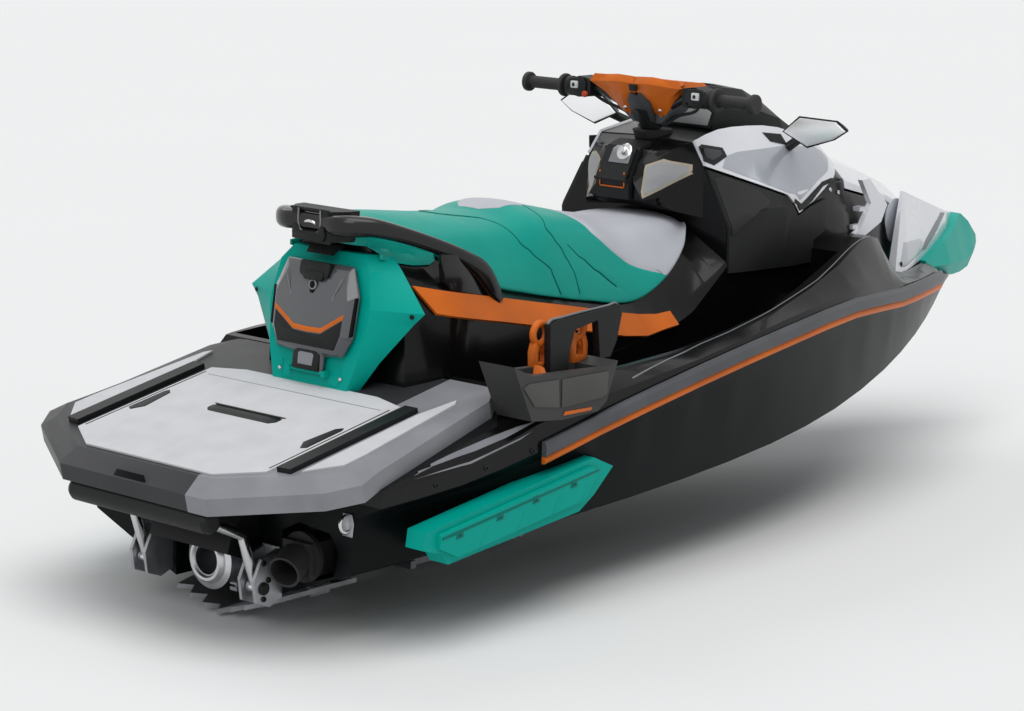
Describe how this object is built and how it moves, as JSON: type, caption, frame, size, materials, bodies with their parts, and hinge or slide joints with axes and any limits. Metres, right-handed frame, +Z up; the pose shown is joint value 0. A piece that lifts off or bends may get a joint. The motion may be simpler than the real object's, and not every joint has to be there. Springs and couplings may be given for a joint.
{
  "type": "personal watercraft",
  "caption": "Three-seat jet-driven personal watercraft with stern platform, stepped saddle, steered nozzle, reverse bucket, boarding step, board rack and opening lids.",
  "frame": {"origin": "on the centreline amidships at the waterline", "axes": "+X to the bow, +Y to port, +Z up"},
  "size_m": [3.566, 1.206, 1.194],
  "materials": {
    "hull_gelcoat": "gloss black moulding",
    "deck_gelcoat": "gloss black moulding",
    "silver_paint": "metallic silver panel",
    "teal_paint": "gloss teal moulding",
    "teal_vinyl": "marine vinyl",
    "white_vinyl": "marine vinyl",
    "orange_plastic": "satin orange moulding",
    "dark_plastic": "textured black moulding",
    "grey_plastic": "satin grey moulding",
    "pad_foam": "brushed traction mat",
    "rubber": "moulded rubber",
    "cast_alloy": "cast alloy",
    "stainless": "polished stainless tube",
    "mirror_glass": "mirror",
    "smoked_glass": "smoked clear plastic",
    "screen": "display"
  },
  "bodies": {
    "hull": {"hull_shell": "hull_gelcoat", "deck": "deck_gelcoat", "bow_deck": "deck_gelcoat", "seat_base": "deck_gelcoat", "nose_panel": "silver_paint", "rubbing_strakes": "grey_plastic", "strake_inserts": "orange_plastic", "bow_bumper": "teal_paint", "side_panels": "silver_paint", "knee_panels": "dark_plastic", "side_brackets": "silver_paint", "meter_hood": "dark_plastic", "instrument_panel": "screen", "console": "dark_plastic", "column_collar": "rubber", "mirror_housings": "silver_paint", "mirror_glasses": "mirror_glass", "rear_seat": "teal_vinyl", "front_seat": "white_vinyl", "side_trims": "orange_plastic", "platform_frame": "grey_plastic", "deck_pads": "pad_foam", "deck_rails": "dark_plastic", "rear_cowl": "teal_paint", "lid_latch": "dark_plastic", "grab_rail": "dark_plastic", "tow_hook": "dark_plastic", "pump_housing": "cast_alloy", "ride_plate": "cast_alloy", "intake_grate": "cast_alloy", "exhaust_outlet": "rubber", "step_brackets": "cast_alloy", "sponsons": "teal_paint", "rack_base": "grey_plastic", "rack_plate": "dark_plastic", "rack_pads": "orange_plastic", "footwell_mats": "rubber"},
    "handlebar": {"steering_column": "dark_plastic", "handlebar": "cast_alloy", "handle_grips": "rubber", "switch_pods": "dark_plastic", "handle_cover": "orange_plastic", "handle_underside": "grey_plastic"},
    "nozzle": {"steering_nozzle": "cast_alloy"},
    "bucket": {"reverse_bucket": "dark_plastic"},
    "impeller": {"impeller": "stainless"},
    "front_hood": {"front_hood": "silver_paint"},
    "glovebox_lid": {"glovebox_lid": "dark_plastic"},
    "storage_lid": {"rear_lid": "smoked_glass"},
    "boarding_step": {"boarding_step": "stainless"}
  },
  "joints": [
    {"name": "steering", "type": "hinge", "parent": "hull", "child": "handlebar", "pos_m": [0.085, 0, 0.79], "axis": [-0.4695, 0, 0.8829], "range_deg": [-20, 20]},
    {"name": "nozzle_turn", "type": "hinge", "parent": "hull", "child": "nozzle", "pos_m": [-1.44, 0, -0.165], "axis": [0, 0, 1], "range_deg": [-18, 18]},
    {"name": "bucket_swing", "type": "hinge", "parent": "hull", "child": "bucket", "pos_m": [-1.405, 0, -0.165], "axis": [0, -1, 0], "range_deg": [0, 48]},
    {"name": "impeller_spin", "type": "hinge", "parent": "hull", "child": "impeller", "pos_m": [-1.208, 0, -0.165], "axis": [1, 0, 0], "continuous": true},
    {"name": "hood_hinge", "type": "hinge", "parent": "hull", "child": "front_hood", "pos_m": [1.366, 0, 0.388], "axis": [0, 1, 0], "range_deg": [0, 60]},
    {"name": "glovebox_hinge", "type": "hinge", "parent": "hull", "child": "glovebox_lid", "pos_m": [-0.0635, 0, 0.6185], "axis": [0, -1, 0], "range_deg": [0, 75]},
    {"name": "storage_hinge", "type": "hinge", "parent": "hull", "child": "storage_lid", "pos_m": [-1.211, 0, 0.246], "axis": [0, -1, 0], "range_deg": [0, 95]},
    {"name": "step_hinge", "type": "hinge", "parent": "hull", "child": "boarding_step", "pos_m": [-1.56, 0, -0.19], "axis": [0, -1, 0], "range_deg": [0, 110], "stiffness_Nm_per_rad": 4, "springref_deg": -68.75}
  ],
  "couplings": [
    {"joint": "nozzle_turn", "follows": "steering", "ratio": -0.9}
  ]
}
